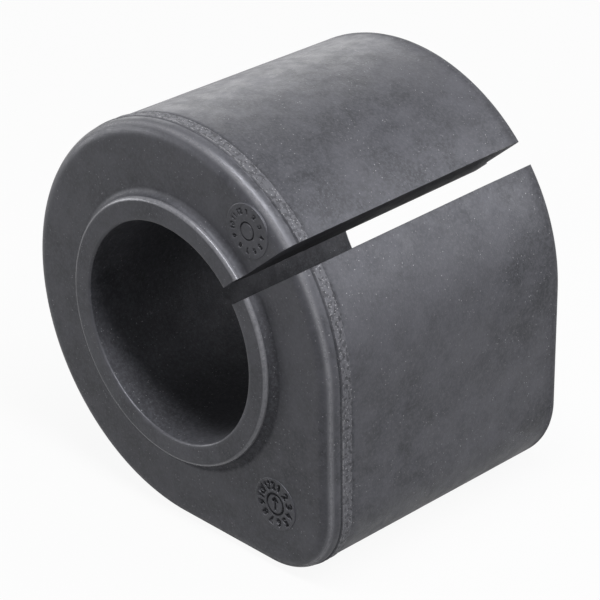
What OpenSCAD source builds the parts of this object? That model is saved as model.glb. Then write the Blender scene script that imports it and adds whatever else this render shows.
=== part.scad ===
// Split rubber bushing that holds a vehicle's sway bar in its bracket. It is one moulding: a round
// body with one squared corner, a bore for the bar, a raised collar round each mouth of the bore,
// and one slit, by which it is opened and pressed over the bar.
//
// Millimetres. The origin is the middle of the bore. The bore runs along Y, the flat base faces -Z,
// the flat side faces +X, and the squared corner lies between them.

/* [Bore and collars] */
// Diameter of the bore, which is the bar's
bore_d = 25; // [20:0.5:30]
// Rounding of the bore's edge at each mouth
mouth_r = 0.3; // [0.1:0.05:0.5]
// Width of each collar, from the bore to its outer side
collar_w = 2.6; // [1.5:0.1:3.5]
// Height of each collar above its end face
collar_h = 1.2; // [0.8:0.1:2.5]
// Rounding of each collar's outer edge
collar_edge_r = 0.4; // [0.2:0.05:0.6]
// Hollow fillet at the foot of each collar
collar_foot_r = 0.8; // [0.2:0.05:1]

/* [Body] */
// Length between the end faces, without the collars
body_len = 36; // [24:0.5:60]
// Thickness of the rubber from the bore to the round side
wall = 10.5; // [9:0.1:16]
// Radius of the squared corner
corner_r = 9; // [4:0.5:12]
// Rounding of the outer edge round each end face
edge_r = 1.6; // [0.8:0.1:2]

/* [Slit] */
// Direction of the slit, in degrees up from the flat side
slit_angle = 37.7; // [10:0.1:70]
// How far above the bore's axis the slit's middle plane passes
slit_offset = 0.6; // [-1:0.1:1]
// Tilt of the slit against the bore, in degrees, by which it climbs towards the rear
slit_tilt = 0.9; // [-1.5:0.1:1.5]
// Gap of the slit where it meets the bore
slit_bore_gap = 1.9; // [0.6:0.1:3]
// Gap of the slit at the outside of the body
slit_outer_gap = 2.8; // [0.6:0.1:3]

/* [Mould marks] */
// Width of the groove at the parting line, behind the front edge
parting_w = 0.4; // [0.1:0.05:0.6]
// Depth of the groove at the parting line
parting_depth = 0.2; // [0.05:0.05:0.3]
// Width of the trimmed flash behind the groove
flash_w = 1.3; // [0.5:0.1:2.5]
// Height of the trimmed flash above the body
flash_h = 0.1; // [0.05:0.05:0.3]
// Diameter of each mould dial
dial_d = 6; // [4:0.5:6.5]
// Height of each dial above the end face
dial_h = 0.08; // [0.05:0.01:0.2]
// Diameter of the circle in the middle of each dial
dial_hub_d = 1.8; // [1:0.1:2.5]
// Width of the line that draws this circle
dial_line_w = 0.25; // [0.15:0.05:0.4]
// Depth of this line
dial_line_depth = 0.15; // [0.05:0.01:0.3]
// Turn from the slit up to the upper dial, in degrees
dial_turn = 15.3; // [14:0.1:60]
// Distance of the corner dial's middle from the flat base and from the flat side
dial_inset = 8; // [7:0.1:9]

/* [Hidden] */
$fn = 96;
bore_r = bore_d / 2;
body_r = bore_r + wall;
collar_r = bore_r + collar_w;
full_len = body_len + 2 * collar_h;
collar_round = min(collar_edge_r, collar_h / 2);
foot_round = min(collar_foot_r, collar_h - collar_round);
foot_r = collar_r + foot_round;
corner_centre = body_r - corner_r;
dial_radius = (foot_r + body_r) / 2;
dial_corner = body_r - dial_inset;
// How far a cutting shape reaches past the rubber
clear = 1;

// What is cut from a square corner to round it off, with the corner at the origin and the material
// towards -X and -Y
module round_off(r) {
    translate([-r, -r])
        difference() {
            square(r + clear);
            circle(r);
        }
}

// What fills an inside corner with a hollow fillet, with the corner at the origin and the fillet
// towards +X and +Y
module fillet(r) {
    difference() {
        square(r);
        translate([r, r]) circle(r);
    }
}

// Section of the body from a middle line out to the side: X is the distance from that line, and Y
// runs along the bore from the front end face to the rear one, with the middle of the length at zero
module section(reach) {
    face = body_len / 2;
    parting = edge_r - face;
    difference() {
        union() {
            translate([0, -face]) square([reach, body_len]);
            translate([0, parting + parting_w]) square([reach + flash_h, flash_w]);
        }
        translate([reach - parting_depth, parting]) square([parting_depth + clear, parting_w]);
        translate([reach, face]) round_off(edge_r);
        translate([reach, -face]) mirror([0, 1]) round_off(edge_r);
    }
}

// Body without its bore. Three quarters are round, and the last is squared with a rounded corner.
module body() {
    rotate_extrude() section(body_r);
    rotate([90, 0, 90]) linear_extrude(corner_centre) section(body_r);
    mirror([1, -1, 0]) rotate([90, 0, 90]) linear_extrude(corner_centre) section(body_r);
    translate([corner_centre, corner_centre]) rotate_extrude() section(corner_r);
}

// Section of one collar, from the axis out, with its top at the end of the part
module collar_section() {
    face = body_len / 2;
    difference() {
        translate([0, face - clear]) square([collar_r, collar_h + clear]);
        translate([collar_r, face + collar_h]) round_off(collar_round);
    }
    translate([collar_r, face]) fillet(foot_round);
}

// Section of the space inside the bore, with its rounded mouths
module bore_section() {
    square([bore_r, full_len / 2 + clear]);
    translate([bore_r, full_len / 2]) mirror([1, 0]) round_off(mouth_r);
}

// Wedge that the slit takes out, which widens from the bore to the outside
module slit() {
    start = 0.9 * bore_r;
    end = body_r + clear;
    spread = (slit_outer_gap - slit_bore_gap) / 2 / wall;
    half_start = slit_bore_gap / 2 + spread * (start - bore_r);
    half_end = slit_bore_gap / 2 + spread * (end - bore_r);
    rotate(-slit_angle)
        translate([0, -slit_offset])
            rotate([slit_tilt, 0, 0])
                linear_extrude(full_len + 2 * clear, center = true)
                    polygon([[start, -half_start], [end, -half_end], [end, half_end], [start, half_start]]);
}

// The middles of the two dials on the front face: beside the slit, and in the squared corner
module at_dials() {
    rotate(-slit_angle - dial_turn) translate([dial_radius, 0, -body_len / 2]) children();
    translate([dial_corner, dial_corner, -body_len / 2]) children();
}

// Low disc that a mould dial leaves on the face
module dial_disc() {
    translate([0, 0, -dial_h]) cylinder(d = dial_d, h = dial_h + clear);
}

// Sunk line round the middle of a dial
module dial_line() {
    translate([0, 0, -dial_h])
        rotate_extrude() translate([dial_hub_d / 2, -clear]) square([dial_line_w, clear + dial_line_depth]);
}

// Space under the flat base, where the flash is trimmed flush so that the part stands level
module under_base() {
    translate([-body_r, body_r, -body_len / 2]) cube([2 * body_r, clear, body_len]);
}

module bushing() {
    color([0.27, 0.27, 0.29])
        rotate([-90, 0, 0])
            difference() {
                union() {
                    body();
                    rotate_extrude() {
                        collar_section();
                        mirror([0, 1]) collar_section();
                    }
                    at_dials() dial_disc();
                }
                rotate_extrude() {
                    bore_section();
                    mirror([0, 1]) bore_section();
                }
                slit();
                under_base();
                at_dials() dial_line();
            }
}

bushing();
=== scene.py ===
import math

import bpy
import numpy as np
from mathutils import Matrix, Vector
from mathutils.geometry import delaunay_2d_cdt


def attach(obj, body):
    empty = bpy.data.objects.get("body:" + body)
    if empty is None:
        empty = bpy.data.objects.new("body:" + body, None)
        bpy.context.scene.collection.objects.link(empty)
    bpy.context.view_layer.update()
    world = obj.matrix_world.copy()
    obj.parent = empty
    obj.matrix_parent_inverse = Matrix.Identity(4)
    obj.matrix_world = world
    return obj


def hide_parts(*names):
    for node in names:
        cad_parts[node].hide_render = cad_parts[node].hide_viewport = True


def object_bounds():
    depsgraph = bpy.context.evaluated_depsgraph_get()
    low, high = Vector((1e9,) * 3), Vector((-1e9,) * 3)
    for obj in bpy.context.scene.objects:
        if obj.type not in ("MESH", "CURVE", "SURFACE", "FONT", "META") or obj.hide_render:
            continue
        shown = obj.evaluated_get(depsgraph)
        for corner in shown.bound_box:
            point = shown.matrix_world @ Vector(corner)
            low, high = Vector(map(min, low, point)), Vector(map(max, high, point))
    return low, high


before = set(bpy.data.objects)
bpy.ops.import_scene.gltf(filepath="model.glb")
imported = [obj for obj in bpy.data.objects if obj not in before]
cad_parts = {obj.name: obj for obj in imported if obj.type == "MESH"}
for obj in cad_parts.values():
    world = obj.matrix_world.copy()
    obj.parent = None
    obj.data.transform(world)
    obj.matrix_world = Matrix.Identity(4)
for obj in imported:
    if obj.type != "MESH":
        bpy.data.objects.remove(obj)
cad_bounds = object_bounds()

MM = 0.001

# Sizes of the part, in millimetres. The bore runs along Y and its middle is the origin.
BORE_R = 12.5
MOUTH_R = 0.3
COLLAR_R = 15.1
COLLAR_H = 1.2
COLLAR_EDGE_R = 0.4
COLLAR_FOOT_R = 0.8
FACE_Y = 18.0
BODY_R = 23.0
CORNER_R = 9.0
EDGE_R = 1.6
SLIT_ANGLE = math.radians(37.7)
SLIT_OFFSET = 0.6
SLIT_TILT = math.radians(0.9)
SLIT_BORE_GAP = 1.9
SLIT_OUTER_GAP = 2.8
GROOVE_W = 0.4
GROOVE_DEPTH = 0.2
FLASH_W = 1.3
FLASH_H = 0.1
DIAL_R = 3.0
DIAL_H = 0.08
DIAL_CORNER = 15.0
DIAL_UPPER_ANGLE = SLIT_ANGLE + math.radians(15.3)

# Sizes that follow from them
WALL = BODY_R - BORE_R
CORNER_CENTRE = BODY_R - CORNER_R
FOOT_R = COLLAR_R + COLLAR_FOOT_R
TOP_Y = FACE_Y + COLLAR_H
GROOVE_Y = FACE_Y - EDGE_R - GROOVE_W
DIAL_UPPER_R = (FOOT_R + BODY_R) / 2

# Section of the groove: how far from its front edge to its rear one, and how deep there
GROOVE_SHAPE = [(0.08, 0.3), (0.25, 0.8), (0.45, 1.0), (0.7, 0.9), (0.9, 0.5)]

# Seam behind the flash: its distance from it, its width, and the distance to the plain side
SEAM_GAP = 0.08
SEAM_W = 0.12
SEAM_END = 0.5

# The lip's rear edge: directions round the bore in degrees, and its place along Y
LIP_ANGLES = [-160, -138, -114, -103, -93, -80, -68]
LIP_Y = [-19.2, -14.5, -15.5, -14.6, -12.9, -11.4, -19.2]

# Place along Y up to which the side has painted shade beside the rear edge
REAR_SHADE_Y = FACE_Y - EDGE_R - 0.5

# Where round the front edge the painted highlight is strongest, in degrees from the face, and how
# far it spreads
HIGHLIGHT_TURN = 53
HIGHLIGHT_SPREAD = 10

# Mean depth of the uneven surface below the exact form, and the most it may differ from that form
SURFACE_DEPTH = 0.012
MOST_DEPTH = 0.1

# Hollow under each dial: how far inside its edge it ends, and its depth
HOLLOW_MARGIN = 0.45
HOLLOW_DEPTH = 0.35

# Spacing of the points inside the slit's walls, and how far each is shifted
WALL_STEP = 0.6
WALL_SHIFT = 0.15

# Points of a dial, its mean height, and its rim as distance from the edge and height from the top
DIAL_RINGS = 70
DIAL_SPOKES = 300
DIAL_TOP = DIAL_H - 0.02
DIAL_RIM = [(-0.02, -0.025), (0.0, -0.07), (0.02, -0.16), (0.0, -0.3)]

# Figures of a dial: their distance from its middle, and their pitch and gap as parts of the height
FIGURE_R = 2.15
FIGURE_PITCH = 0.82
FIGURE_GAP = 0.22

# Points in each row round the outline
COLUMNS = 500

rng = np.random.default_rng(7)


def smooth(x):
    """Smooth step from 0 to 1 as x goes from 0 to 1."""
    x = np.clip(x, 0, 1)
    return x * x * (3 - 2 * x)


LATTICE_SIZE = 32
LATTICE = rng.random((LATTICE_SIZE, LATTICE_SIZE, LATTICE_SIZE))


def noise(points, size):
    """Smooth noise from -1 to 1 that changes over about size millimetres."""
    p = np.asarray(points, float) / size
    cell = np.floor(p).astype(int)
    f = smooth(p - cell)
    total = np.zeros(len(p))
    for dx in (0, 1):
        for dy in (0, 1):
            for dz in (0, 1):
                corner = (cell + (dx, dy, dz)) % LATTICE_SIZE
                weight = (
                    np.where(dx, f[:, 0], 1 - f[:, 0])
                    * np.where(dy, f[:, 1], 1 - f[:, 1])
                    * np.where(dz, f[:, 2], 1 - f[:, 2])
                )
                total += weight * LATTICE[corner[:, 0], corner[:, 1], corner[:, 2]]
    return 2 * total - 1


# The rows of points that make up the skin


def slit_wall(r, y, side):
    """Angle of the slit's upper wall (side 1) or lower wall (side -1), r from the bore's axis."""
    along = r
    for _ in range(6):
        gap = SLIT_BORE_GAP / 2 + (SLIT_OUTER_GAP - SLIT_BORE_GAP) / 2 * (along - BORE_R) / WALL
        off = SLIT_OFFSET + y * math.tan(SLIT_TILT) + side * gap
        along = math.sqrt(r * r - off * off)
    return SLIT_ANGLE + math.atan2(off, along)


def outline(count):
    """Points and outward directions round the outline, from the slit's lower wall to its upper one.

    The way goes over the flat side, the squared corner, the base and the round side.
    """
    start = slit_wall(BODY_R, 0, -1)
    end = slit_wall(BODY_R, 0, 1) - 2 * math.pi
    quarter = math.pi / 2
    lengths = [
        start * BODY_R,
        CORNER_CENTRE,
        quarter * CORNER_R,
        CORNER_CENTRE,
        (-quarter - end) * BODY_R,
    ]
    stops = np.concatenate([[0], np.cumsum(lengths)])
    points = np.zeros((count, 2))
    normals = np.zeros((count, 2))
    for i, s in enumerate(np.linspace(0, stops[-1], count)):
        if s <= stops[1]:
            angle = start - s / BODY_R
            normals[i] = math.cos(angle), math.sin(angle)
            points[i] = BODY_R * normals[i]
        elif s <= stops[2]:
            normals[i] = 1, 0
            points[i] = BODY_R, -(s - stops[1])
        elif s <= stops[3]:
            angle = -(s - stops[2]) / CORNER_R
            normals[i] = math.cos(angle), math.sin(angle)
            points[i] = np.array([CORNER_CENTRE, -CORNER_CENTRE]) + CORNER_R * normals[i]
        elif s <= stops[4]:
            normals[i] = 0, -1
            points[i] = CORNER_CENTRE - (s - stops[3]), -BODY_R
        else:
            angle = -quarter - (s - stops[4]) / BODY_R
            normals[i] = math.cos(angle), math.sin(angle)
            points[i] = BODY_R * normals[i]
    return points, normals


OUT_P, OUT_N = outline(COLUMNS)
POLAR = np.unwrap(np.arctan2(OUT_P[:, 1], OUT_P[:, 0]))
ROUND = np.stack([np.cos(POLAR), np.sin(POLAR)], 1)

# Share of the shift that each column takes from the slit's lower and upper wall
FADE = math.radians(30)
NEAR_LOWER = 1 - smooth((POLAR[0] - POLAR) / FADE)
NEAR_UPPER = 1 - smooth((POLAR - POLAR[-1]) / FADE)


def turned(points, r, y):
    """Points at distance r from the axis, turned near the slit so that they end on its walls."""
    lower = slit_wall(r, y, -1) - POLAR[0]
    upper = slit_wall(r, y, 1) - 2 * math.pi - POLAR[-1]
    angle = lower * NEAR_LOWER + upper * NEAR_UPPER
    c, s = np.cos(angle), np.sin(angle)
    x = points[:, 0] * c - points[:, 1] * s
    z = points[:, 0] * s + points[:, 1] * c
    return np.stack([x, np.full(len(x), float(y)), z], 1)


def ring(r, y):
    """Row on a circle round the bore's axis."""
    return turned(r * ROUND, r, y)


def inset(d, y):
    """Row inside the outline by the distance d."""
    return turned(OUT_P - OUT_N * d, BODY_R - d, y)


def on_face(w, y):
    """Row on the end face, w of the way from the collar's foot to the edge's rounding."""
    r = FOOT_R + w * (BODY_R - EDGE_R - FOOT_R)
    outer = OUT_P - OUT_N * EDGE_R
    return turned(FOOT_R * ROUND * (1 - w) + outer * w, r, y)


def quarter_turn(count):
    """Angles of a quarter turn in equal steps, without the first."""
    return np.linspace(0, math.pi / 2, count)[1:]


def half_rows(end):
    """Rows of points, with their zones, over the front end (-1) or the rear end (1).

    They run from the middle of the bore, over that end, and back to the middle of the side. The
    front end is in the photo and has the closer rows.
    """
    fine = end < 0
    rows = []

    def add(make, size, y, zone):
        rows.append((make(size, end * y), zone))

    mouth_y = TOP_Y - MOUTH_R
    lengths = np.linspace(0, mouth_y, 11)[1:]
    if fine:
        lengths = np.concatenate([np.linspace(0, 9.6, 6), np.linspace(10, mouth_y, 23)])
    for y in lengths:
        add(ring, BORE_R, y, "bore")
    for a in quarter_turn(5):
        r = BORE_R + MOUTH_R * (1 - math.cos(a))
        add(ring, r, TOP_Y - MOUTH_R * (1 - math.sin(a)), "mouth")
    for r in np.linspace(BORE_R + MOUTH_R, COLLAR_R - COLLAR_EDGE_R, 8 if fine else 5)[1:]:
        add(ring, r, TOP_Y, "collar")
    for a in quarter_turn(7 if fine else 5):
        r = COLLAR_R - COLLAR_EDGE_R * (1 - math.sin(a))
        add(ring, r, TOP_Y - COLLAR_EDGE_R * (1 - math.cos(a)), "collar_edge")
    for a in quarter_turn(9 if fine else 6):
        r = FOOT_R - COLLAR_FOOT_R * math.cos(a)
        add(ring, r, FACE_Y + COLLAR_FOOT_R * (1 - math.sin(a)), "foot")
    for w in np.linspace(0, 1, 23 if fine else 11)[1:]:
        add(on_face, w, FACE_Y, "face")
    for a in quarter_turn(13 if fine else 11):
        add(inset, EDGE_R * (1 - math.sin(a)), FACE_Y - EDGE_R * (1 - math.cos(a)), "edge")
    if fine:
        for part, depth in GROOVE_SHAPE:
            add(inset, GROOVE_DEPTH * depth, GROOVE_Y + GROOVE_W * (1 - part), "groove")
        for part in np.linspace(0, 1, 10):
            add(inset, -FLASH_H, GROOVE_Y - FLASH_W * part, "flash")
        side = GROOVE_Y - FLASH_W - SEAM_GAP
        add(inset, 0, side, "seam")
        add(inset, 0, side - SEAM_W, "seam")
        lengths = np.linspace(side - SEAM_END, 0, 16)
    else:
        lengths = np.linspace(REAR_SHADE_Y, 0, 16)[:-1]
    for y in lengths:
        add(inset, 0, y, "side")
    return rows


# The rubber


def mesh_object(name, verts, faces, sharp=32):
    """Mesh object with smooth shading, apart from edges that turn by more than sharp degrees."""
    mesh = bpy.data.meshes.new(name)
    mesh.from_pydata([tuple(v) for v in verts], [], [tuple(f) for f in faces])
    mesh.validate()
    mesh.update()
    obj = bpy.data.objects.new(name, mesh)
    bpy.context.scene.collection.objects.link(obj)
    mesh.shade_smooth()
    mesh.set_sharp_from_angle(angle=math.radians(sharp))
    return obj


def paint(obj, colour):
    """Store the zones that the material reads: red is flash, green is painted highlight, blue is
    painted shade.
    """
    layer = obj.data.color_attributes.new("zones", "FLOAT_COLOR", "POINT")
    layer.data.foreach_set("color", colour.ravel())


def outward(grid, zones):
    """Outward direction at each point of the grid, from its neighbours."""
    along = np.roll(grid, -1, 0) - np.roll(grid, 1, 0)
    across = np.gradient(grid, axis=1)
    normal = np.cross(along, across)
    normal /= np.maximum(np.linalg.norm(normal, axis=2, keepdims=True), 1e-9)
    side = zones.index("side")
    if (normal[side, :, 0] * grid[side, :, 0]).sum() < 0:
        normal = -normal
    return normal


def behind_lip(grid):
    """Distance in millimetres behind the lip low in the bore's front mouth, less than 0 on it."""
    angle = np.degrees(np.arctan2(grid[:, :, 2], grid[:, :, 0]))
    return grid[:, :, 1] - np.interp(angle, LIP_ANGLES, LIP_Y)


def relief(grid, zones, lip):
    """Depth of the surface below the exact form, with the fine and the broad noise it uses."""
    shape = grid.shape[:2]
    flat = grid.reshape(-1, 3)
    wave = 0.5 * noise(flat, 5.0) + 0.3 * noise(flat + 40, 2.2) + 0.2 * noise(flat + 90, 1.0)
    depth = (SURFACE_DEPTH + SURFACE_DEPTH * wave).reshape(shape)
    rough = noise(flat, 0.35).reshape(shape)
    grain = rng.uniform(-1, 1, shape)
    patch = noise(flat + 15, 6.0).reshape(shape)
    calm = SURFACE_DEPTH + 0.006 * patch
    face_border = 5
    for i, zone in enumerate(zones):
        if zone == "flash" and zones[i - 1] == "groove":
            depth[i] = 0.02 + 0.01 * patch[i]
        elif zone == "flash":
            depth[i] = 0.05 + 0.03 * rough[i] + 0.035 * grain[i] + 0.02 * patch[i]
        elif zone == "groove":
            depth[i] = -0.1 - 0.04 * patch[i] + 0.03 * rough[i]
        elif zone == "seam":
            depth[i] = 0.045 + 0.025 * rough[i]
        elif zone in ("edge", "collar_edge", "collar", "foot"):
            depth[i] = calm[i]
        elif zone == "mouth":
            depth[i] = 0.01 + 0.008 * rough[i]
        elif zone == "face":
            to_border = min(abs(i - k) for k, other in enumerate(zones) if other != "face")
            depth[i] = calm[i] + (depth[i] - calm[i]) * smooth(to_border / face_border)
        elif zone == "bore":
            depth[i] = depth[i] + 0.04 * smooth(lip[i] / 0.5)
    may_rise = np.array([zone == "groove" for zone in zones])[:, None]
    return np.clip(depth, np.where(may_rise, -MOST_DEPTH, 0.0), MOST_DEPTH), rough, patch


def dial_places():
    """Middles of the upper dial and the corner dial, in X and Z."""
    x = DIAL_UPPER_R * math.cos(DIAL_UPPER_ANGLE)
    z = DIAL_UPPER_R * math.sin(DIAL_UPPER_ANGLE)
    return (x, z), (DIAL_CORNER, -DIAL_CORNER)


def skin_faces(count):
    """Quads between each row and the next, the last row being joined to the first."""
    faces = []
    for i in range(count):
        here = i * COLUMNS
        there = (i + 1) % count * COLUMNS
        for k in range(COLUMNS - 1):
            faces.append((here + k, here + k + 1, there + k + 1, there + k))
    return faces


def fill_wall(loop):
    """Points and triangles that fill a slit wall with the loop as its outline, and their origin."""
    flat = np.stack([np.hypot(loop[:, 0], loop[:, 2]), loop[:, 1]], 1)
    inner = []
    for y in np.arange(-FACE_Y + 0.4, FACE_Y, WALL_STEP):
        for r in np.arange(BORE_R + 0.5, BODY_R - 0.5, WALL_STEP):
            shift = rng.uniform(-WALL_SHIFT, WALL_SHIFT, 2)
            inner.append((r + shift[0], y + shift[1]))
    points = [Vector(p) for p in flat] + [Vector(p) for p in inner]
    outline_loop = [list(range(len(flat)))]
    coords, _, tris, origin, _, _ = delaunay_2d_cdt(points, [], outline_loop, 1, 1e-6)
    return coords, tris, origin


def slit_walls(grid):
    """Points inside the two walls of the slit, and the triangles of both walls."""
    count = len(grid)
    points = []
    faces = []
    for column, side in ((0, -1), (COLUMNS - 1, 1)):
        coords, tris, origin = fill_wall(grid[:, column])
        index = []
        for (r, y), source in zip(coords, origin):
            if source and source[0] < count:
                index.append(source[0] * COLUMNS + column)
                continue
            angle = slit_wall(r, y, side)
            index.append(count * COLUMNS + len(points))
            points.append((r * math.cos(angle), y, r * math.sin(angle)))
        for tri in tris:
            tri = [index[n] for n in tri]
            faces.append(tri if side < 0 else tri[::-1])
    return points, faces


def skin_colours(grid, zones, normal, lip, rough, patch):
    """Colour of each point of the skin, by its zone, with painted highlights along the rounded
    edges and painted shade in the hollows.
    """
    colours = np.zeros((*grid.shape[:2], 4), np.float32)
    colours[:, :, 3] = 1
    for i, zone in enumerate(zones):
        row = colours[i]
        y = grid[i, 0, 1]
        if zone == "flash":
            row[:, 0] = 1
            if zones[i - 1] == "groove":
                # painted highlight along the flash's front lip
                row[:, 1] = smooth(0.6 + patch[i])
        elif zone == "groove":
            # painted shade in the groove, less on the upper side
            row[:, 2] = 0.8 - 0.6 * smooth(OUT_N[:, 1])
        elif zone == "seam":
            # painted shade in a thin line behind the flash, stronger on the upper side
            row[:, 2] = smooth(0.3 + 0.9 * rough[i] + 0.7 * patch[i] + OUT_N[:, 1])
        elif zone == "collar_edge":
            # painted highlight along the collar's rounded edge
            row[:, 1] = 1
        elif zone == "mouth":
            # faint painted highlight on the mouth's rounding
            row[:, 1] = 0.12
        elif zone == "foot":
            # painted shade at the collar's foot, deeper towards the lower right
            low_right = grid[i, :, 0] * 0.8 - grid[i, :, 2] * 0.6
            row[:, 2] = 0.45 + 0.5 * smooth((low_right / FOOT_R - 0.2) / 0.5)
        elif zone == "bore":
            # painted shade inside the bore, deeper towards the bottom and in a line behind the lip
            line = np.exp(-((lip[i] / 0.35) ** 2))
            low = smooth((-grid[i, :, 2] / BORE_R - 0.3) / 0.5)
            on_lip = smooth(-lip[i] / 0.6)
            row[:, 2] = np.clip(0.62 + 0.25 * low + 0.35 * line - 0.04 * on_lip, 0, 1)
        elif zone == "side" and abs(y - REAR_SHADE_Y) < 0.1:
            # painted shade on the side beside the rear edge
            row[:, 2] = 0.3
        elif zone == "edge" and y > 0:
            # painted shade on the rear edge's rounding
            row[:, 2] = 0.75
        elif zone == "edge":
            turn = np.degrees(np.arccos(np.clip(np.abs(normal[i, :, 1]), 0, 1)))
            # painted highlight: a lighter band along the front edge's rounding
            row[:, 1] = np.exp(-(((turn - HIGHLIGHT_TURN) / HIGHLIGHT_SPREAD) ** 2))
    return colours.reshape(-1, 4)


def make_bushing():
    """The rubber moulding, as one closed mesh."""
    rows = half_rows(-1) + half_rows(1)[::-1]
    zones = [zone for _, zone in rows]
    grid = np.array([points for points, _ in rows])
    normal = outward(grid, zones)
    lip = behind_lip(grid)
    depth, rough, patch = relief(grid, zones, lip)
    grid = grid - normal * depth[:, :, None]
    grid[:, :, 2] = np.maximum(grid[:, :, 2], -BODY_R)

    # Each dial covers a shallow hollow in the front face
    front_face = np.array([zone == "face" for zone in zones])[:, None] & (grid[:, :, 1] < 0)
    for x, z in dial_places():
        near = np.hypot(grid[:, :, 0] - x, grid[:, :, 2] - z) < DIAL_R - HOLLOW_MARGIN
        grid[:, :, 1] += np.where(near & front_face, HOLLOW_DEPTH, 0.0)

    inner, wall_faces = slit_walls(grid)
    verts = np.vstack([grid.reshape(-1, 3), inner])
    obj = mesh_object("rubber_bushing", verts * MM, skin_faces(len(rows)) + wall_faces)
    # painted shade on the slit's walls
    inner_colours = np.tile(np.array([0, 0, 0.8, 1], np.float32), (len(inner), 1))
    paint(obj, np.vstack([skin_colours(grid, zones, normal, lip, rough, patch), inner_colours]))
    return obj


# The dials, with plain figures as strokes in a cell 0.6 wide and 1 high


def arc(cx, cy, rx, ry, start, end, count=10):
    """Points of an arc round (cx, cy), between two angles in degrees."""
    return [
        (cx + rx * math.cos(math.radians(a)), cy + ry * math.sin(math.radians(a)))
        for a in np.linspace(start, end, count)
    ]


FIGURES = {
    "0": [arc(0.3, 0.5, 0.28, 0.48, 0, 360, 18)],
    "1": [[(0.12, 0.8), (0.32, 1.0), (0.32, 0.0)]],
    "2": [arc(0.3, 0.72, 0.27, 0.27, 160, -30) + [(0.03, 0.0), (0.58, 0.0)]],
    "3": [arc(0.28, 0.74, 0.26, 0.25, 150, -90), arc(0.28, 0.25, 0.29, 0.25, 90, -150)],
    "4": [[(0.45, 0.0), (0.45, 1.0), (0.02, 0.3), (0.6, 0.3)]],
    "5": [[(0.54, 1.0), (0.1, 1.0), (0.07, 0.56)] + arc(0.27, 0.31, 0.3, 0.31, 120, -145)],
    "6": [arc(0.3, 0.29, 0.27, 0.28, 0, 360, 14), [(0.04, 0.35), (0.15, 0.75), (0.45, 1.0)]],
    "7": [[(0.02, 1.0), (0.58, 1.0), (0.22, 0.0)]],
    "8": [arc(0.3, 0.75, 0.23, 0.24, 0, 360, 14), arc(0.3, 0.26, 0.28, 0.27, 0, 360, 14)],
    "9": [arc(0.3, 0.71, 0.27, 0.28, 0, 360, 14), [(0.56, 0.65), (0.45, 0.25), (0.15, 0.0)]],
}

ARROW = [
    np.array([(0.0, 0.75), (0.0, -0.75)]),
    np.array([(-0.35, 0.35), (0.0, 0.75), (0.35, 0.35)]),
]


def figures_round(labels, height, turn):
    """Strokes of the labels in a ring, with their feet towards the middle and the first at turn."""
    strokes = []
    for i, label in enumerate(labels):
        angle = turn - 2 * math.pi * i / len(labels)
        up = np.array([math.cos(angle), math.sin(angle)])
        right = np.array([up[1], -up[0]])
        pitch = FIGURE_PITCH * height
        width = pitch * len(label) - FIGURE_GAP * height
        for n, figure in enumerate(label):
            for stroke in FIGURES[figure]:
                line = []
                for x, y in stroke:
                    across = n * pitch + x * height - width / 2
                    line.append(right * across + up * (FIGURE_R + (y - 0.5) * height))
                strokes.append(np.array(line))
    return strokes


def distance_to(points, strokes):
    """Shortest distance from each point to any of the strokes."""
    best = np.full(len(points), 1e9)
    for line in strokes:
        for a, b in zip(line[:-1], line[1:]):
            ab = b - a
            t = np.clip(((points - a) @ ab) / max(ab @ ab, 1e-12), 0, 1)
            best = np.minimum(best, np.hypot(*(points - a - t[:, None] * ab).T))
    return best


def sunk(distance, width, reach, soft):
    """How far a line of this width is sunk, from 0 to 1, at each distance from its middle."""
    return smooth((width / 2 + reach - distance) / soft)


def make_dial(name, place, strokes, line_w, circle, tilt, depth):
    """Low disc with sunk strokes and one sunk circle, from rings of points round its middle."""
    radii = np.linspace(0, DIAL_R - 0.06, DIAL_RINGS + 1)[1:]
    angles = np.linspace(0, 2 * math.pi, DIAL_SPOKES, endpoint=False)
    spokes = np.stack([np.cos(angles), np.sin(angles)], 1)
    points = np.vstack([(radii[:, None, None] * spokes).reshape(-1, 2), [[0, 0]]])
    circle_r, circle_w = circle
    from_circle = np.abs(np.hypot(*points.T) - circle_r)
    line = np.maximum(
        sunk(distance_to(points, strokes), line_w, 0.06, 0.1),
        sunk(from_circle, circle_w, 0.05, 0.09),
    )
    tilt = np.array(tilt)
    rough = 0.008 * noise(np.column_stack([points, np.zeros(len(points))]) + 20, 0.3)
    height = DIAL_TOP + points @ tilt - depth * line + rough
    for beyond, drop in DIAL_RIM:
        rim = (DIAL_R + beyond) * spokes
        points = np.vstack([points, rim])
        height = np.concatenate([height, np.minimum(DIAL_TOP + rim @ tilt, DIAL_H) + drop])
    y = -FACE_Y - np.minimum(height, DIAL_H)
    verts = np.column_stack([points[:, 0] + place[0], y, points[:, 1] + place[1]])

    middle = DIAL_RINGS * DIAL_SPOKES
    starts = [i * DIAL_SPOKES for i in range(DIAL_RINGS)]
    starts += [middle + 1 + i * DIAL_SPOKES for i in range(len(DIAL_RIM))]
    faces = []
    for k in range(DIAL_SPOKES):
        n = (k + 1) % DIAL_SPOKES
        faces.append((middle, k, n))
        for a, b in zip(starts[:-1], starts[1:]):
            faces.append((a + k, b + k, b + n, a + n))
    faces.append(tuple(starts[-1] + k for k in reversed(range(DIAL_SPOKES))))
    obj = mesh_object(name, verts * MM, faces, 50)

    # The sloping sides of the lines get a painted highlight, and their floors painted shade
    colour = np.zeros((len(verts), 4), np.float32)
    colour[: len(line), 1] = 3 * line * (1 - line)
    colour[: len(line), 2] = line
    colour[:, 3] = 1
    paint(obj, colour)
    return obj


# The material. Scales of its fields are per metre.

DARK = (0.006, 0.006, 0.007)


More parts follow.
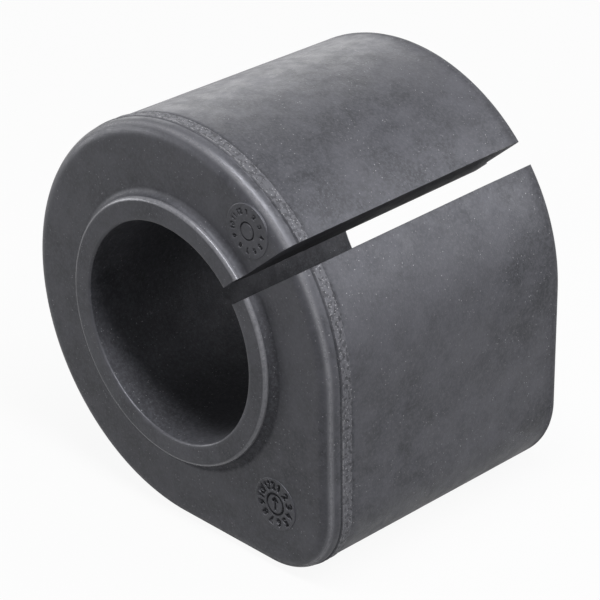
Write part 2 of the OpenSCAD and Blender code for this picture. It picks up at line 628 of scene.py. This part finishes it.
def rubber_material():
    mat = bpy.data.materials.new("rubber")
    mat.use_nodes = True
    tree = mat.node_tree
    tree.nodes.clear()

    def node(kind, **values):
        made = tree.nodes.new(kind)
        for key, value in values.items():
            setattr(made, key, value)
        return made

    def link(a, b):
        tree.links.new(a, b)

    def feed(socket, value):
        """Link a value that comes from a node, or set a plain one."""
        if isinstance(value, (int, float)):
            socket.default_value = value
        elif isinstance(value, tuple):
            socket.default_value = (*value, 1)
        else:
            link(value, socket)

    def field(scale, detail, roughness, stretch=(1, 1, 1), distortion=0.0):
        mapping = node("ShaderNodeMapping")
        mapping.inputs["Scale"].default_value = stretch
        link(coords.outputs["Object"], mapping.inputs["Vector"])
        tex = node("ShaderNodeTexNoise")
        tex.inputs["Scale"].default_value = scale
        tex.inputs["Detail"].default_value = detail
        tex.inputs["Roughness"].default_value = roughness
        tex.inputs["Distortion"].default_value = distortion
        link(mapping.outputs["Vector"], tex.inputs["Vector"])
        return tex.outputs["Fac"]

    def ramp(source, low, high, a=0.0, b=1.0):
        made = node("ShaderNodeMapRange", interpolation_type="SMOOTHSTEP")
        made.inputs["From Min"].default_value = low
        made.inputs["From Max"].default_value = high
        made.inputs["To Min"].default_value = a
        made.inputs["To Max"].default_value = b
        link(source, made.inputs["Value"])
        return made.outputs["Result"]

    def math_node(operation, a, b):
        made = node("ShaderNodeMath", operation=operation)
        feed(made.inputs[0], a)
        feed(made.inputs[1], b)
        return made.outputs[0]

    def times(a, b):
        return math_node("MULTIPLY", a, b)

    def plus(a, b):
        return math_node("ADD", a, b)

    def mix(factor, a, b):
        made = node("ShaderNodeMix", data_type="RGBA")
        link(factor, made.inputs["Factor"])
        feed(made.inputs["A"], a)
        feed(made.inputs["B"], b)
        return made.outputs["Result"]

    coords = node("ShaderNodeTexCoord")
    zones = node("ShaderNodeVertexColor", layer_name="zones")
    split = node("ShaderNodeSeparateColor")
    link(zones.outputs["Color"], split.inputs["Color"])
    # The zones give the flash, the painted highlight and the painted shade
    flash, painted_highlight, painted_shade = split.outputs[:3]

    bloom = ramp(field(75, 5, 0.6, distortion=0.8), 0.36, 0.68)
    cloud = ramp(field(260, 6, 0.62, distortion=0.4), 0.38, 0.66)
    smear = ramp(field(520, 5, 0.6, (1, 0.35, 1)), 0.45, 0.7)
    grain = ramp(field(2600, 3, 0.75), 0.4, 0.66)
    pits = times(ramp(field(2300, 2, 0.5), 0.50, 0.42), flash)

    # Pale specks, in crowds on the rubber and everywhere on the flash
    cells = node("ShaderNodeTexVoronoi")
    cells.inputs["Scale"].default_value = 3200
    link(coords.outputs["Object"], cells.inputs["Vector"])
    dot = ramp(cells.outputs["Distance"], 0.24, 0.10)
    pick = ramp(field(5200, 1, 0.5), 0.55, 0.64)
    crowd = ramp(field(330, 3, 0.6), 0.40, 0.60, 0.15, 1.0)
    specks = math_node("MAXIMUM", times(times(dot, pick), crowd), times(times(dot, flash), 0.9))

    base = mix(cloud, (0.008, 0.0085, 0.0105), (0.028, 0.0285, 0.034))
    for share, strength, colour in (
        (bloom, 0.5, (0.058, 0.058, 0.066)),
        (smear, 0.35, (0.048, 0.048, 0.055)),
        (flash, 0.5, (0.100, 0.100, 0.110)),
        # painted highlight: a lighter colour along the rounded edges and the sides of the strokes
        (painted_highlight, 0.6, (0.210, 0.210, 0.224)),
        # painted shade: near black in the groove, seam, collar foot, bore, slit walls and stroke
        # floors
        (painted_shade, 0.75, DARK),
        (pits, 0.8, DARK),
        (grain, 0.45, (0.060, 0.061, 0.070)),
    ):
        base = mix(times(share, strength), base, colour)
    base = mix(specks, base, (0.27, 0.27, 0.28))

    rough = ramp(field(500, 5, 0.6), 0.3, 0.7, 0.32, 0.46)
    for share, change in ((painted_highlight, -0.22), (flash, 0.08), (painted_shade, 0.35), (bloom, 0.08)):
        rough = plus(rough, times(share, change))

    fine = times(field(5200, 3, 0.6), plus(1.0, times(flash, 2.5)))
    medium = times(field(900, 4, 0.55), plus(1.0, times(painted_highlight, -0.85)))
    bump_height = plus(plus(times(fine, 0.9), times(medium, 0.8)), times(pits, -1.5))
    bump = node("ShaderNodeBump")
    bump.inputs["Strength"].default_value = 0.32
    bump.inputs["Distance"].default_value = 0.00006
    link(bump_height, bump.inputs["Height"])

    shader = node("ShaderNodeBsdfPrincipled")
    shader.inputs["Specular IOR Level"].default_value = 0.5
    shader.inputs["Specular Tint"].default_value = (0.90, 0.91, 1.0, 1)
    link(base, shader.inputs["Base Color"])
    link(rough, shader.inputs["Roughness"])
    link(bump.outputs["Normal"], shader.inputs["Normal"])
    out = node("ShaderNodeOutputMaterial")
    link(shader.outputs["BSDF"], out.inputs["Surface"])
    return mat


rubber = rubber_material()
bushing = make_bushing()
numbers = [str(n) for n in range(1, 13)]
upper_figures = figures_round(numbers, 0.52, math.radians(90))
corner_figures = figures_round(numbers, 0.8, math.radians(75)) + ARROW
upper_place, corner_place = dial_places()
upper_dial = make_dial(
    "dial_upper", upper_place, upper_figures, 0.11, (0.95, 0.12), (0.004, 0.006), 0.2
)
corner_dial = make_dial(
    "dial_corner", corner_place, corner_figures, 0.23, (1.2, 0.2), (0.004, 0.0), 0.28
)
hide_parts("bushing")
for piece in (bushing, upper_dial, corner_dial):
    piece.data.materials.append(rubber)
    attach(piece, "root")


# Floor, background and light

WHITE = (1, 1, 1, 1)


def any_ray(tree, shares):
    """Largest share of the kinds of ray given, where the ray is of that kind."""
    path = tree.nodes.new("ShaderNodeLightPath")
    result = None
    for kind, share in shares.items():
        part = tree.nodes.new("ShaderNodeMath")
        part.operation = "MULTIPLY"
        part.inputs[1].default_value = share
        tree.links.new(path.outputs[kind], part.inputs[0])
        if result is None:
            result = part.outputs[0]
            continue
        larger = tree.nodes.new("ShaderNodeMath")
        larger.operation = "MAXIMUM"
        tree.links.new(result, larger.inputs[0])
        tree.links.new(part.outputs[0], larger.inputs[1])
        result = larger.outputs[0]
    return result


def mix_by_ray(tree, shares, plain, bright, out):
    """Show the bright shader to the kinds of ray given, by their shares, and else the plain one."""
    both = tree.nodes.new("ShaderNodeMixShader")
    tree.links.new(any_ray(tree, shares), both.inputs["Fac"])
    tree.links.new(plain, both.inputs[1])
    tree.links.new(bright, both.inputs[2])
    tree.links.new(both.outputs["Shader"], out.inputs["Surface"])


def floor_material(grey, lit, mirrored):
    """Matt grey that the camera sees as white by the share lit, and reflections by mirrored."""
    mat = bpy.data.materials.new("floor_white")
    mat.use_nodes = True
    tree = mat.node_tree
    shader = tree.nodes["Principled BSDF"]
    shader.inputs["Base Color"].default_value = (grey, grey, grey, 1)
    shader.inputs["Roughness"].default_value = 0.9
    shader.inputs["Specular IOR Level"].default_value = 0.1
    glow = tree.nodes.new("ShaderNodeEmission")
    glow.inputs["Color"].default_value = WHITE
    mix_by_ray(
        tree,
        {"Is Camera Ray": lit, "Is Transmission Ray": lit, "Is Glossy Ray": mirrored},
        shader.outputs["BSDF"],
        glow.outputs["Emission"],
        tree.nodes["Material Output"],
    )
    return mat


def make_floor(half):
    """Square floor under the part, half wide from the middle to each side, in metres."""
    z = cad_bounds[0].z
    corners = [(-half, -half, z), (half, -half, z), (half, half, z), (-half, half, z)]
    floor = mesh_object("floor", corners, [(0, 1, 2, 3)])
    floor.data.materials.append(floor_material(0.42, 0.93, 0.2))


def make_world(ambient):
    """White background for the camera and reflections, and a faint even light for all else."""
    world = bpy.data.worlds.new("studio")
    bpy.context.scene.world = world
    world.use_nodes = True
    tree = world.node_tree
    tree.nodes.clear()
    shades = []
    for strength in (ambient, 1.0):
        shade = tree.nodes.new("ShaderNodeBackground")
        shade.inputs["Color"].default_value = WHITE
        shade.inputs["Strength"].default_value = strength
        shades.append(shade.outputs["Background"])
    mix_by_ray(
        tree,
        {"Is Camera Ray": 1, "Is Glossy Ray": 1, "Is Transmission Ray": 1},
        *shades,
        tree.nodes.new("ShaderNodeOutputWorld"),
    )


def softbox(name, place, size, power, turn=0):
    """Soft light at a place in metres, facing the origin, turned on its axis by turn degrees."""
    data = bpy.data.lights.new(name, "AREA")
    data.shape = "RECTANGLE"
    data.size, data.size_y = size
    data.energy = power
    light = bpy.data.objects.new(name, data)
    bpy.context.scene.collection.objects.link(light)
    light.location = place
    light.rotation_euler = (-Vector(place)).to_track_quat("-Z", "Y").to_euler()
    light.rotation_euler.rotate_axis("Z", math.radians(turn))


make_floor(3.0)
make_world(0.05)
softbox("over", (0.19, -0.075, 0.50), (0.62, 0.09), 5.5, -61)
softbox("back_left", (-0.50, 0.45, 0.20), (0.5, 0.5), 1.0)
softbox("back_right", (0.35, 0.50, 0.45), (0.4, 0.4), 1.15)
softbox("right_back", (0.50, 0.42, 0.20), (0.35, 0.3), 1.0)
softbox("front_left", (-0.50, -0.26, 0.0), (0.3, 0.3), 1.6)

# Camera, from the fit to the photo
RIGHT = Vector((0.69715, 0.71680, -0.01333))
UP = Vector((-0.31952, 0.32730, 0.88926))
FORWARD = Vector((-0.64178, 0.61569, -0.45721))
EYE = Vector((185.921, -177.848, 129.286)) * MM

camera_data = bpy.data.cameras.new("camera")
camera_data.sensor_width = 36
camera_data.lens = 157.35
camera_data.shift_x = -0.0014
camera_data.shift_y = -0.0008
camera = bpy.data.objects.new("camera", camera_data)
bpy.context.scene.collection.objects.link(camera)
camera.matrix_world = Matrix(
    (
        (RIGHT.x, UP.x, -FORWARD.x, EYE.x),
        (RIGHT.y, UP.y, -FORWARD.y, EYE.y),
        (RIGHT.z, UP.z, -FORWARD.z, EYE.z),
        (0, 0, 0, 1),
    )
)
bpy.context.scene.camera = camera
bpy.context.scene.view_settings.view_transform = "Standard"

bpy.context.view_layer.update()
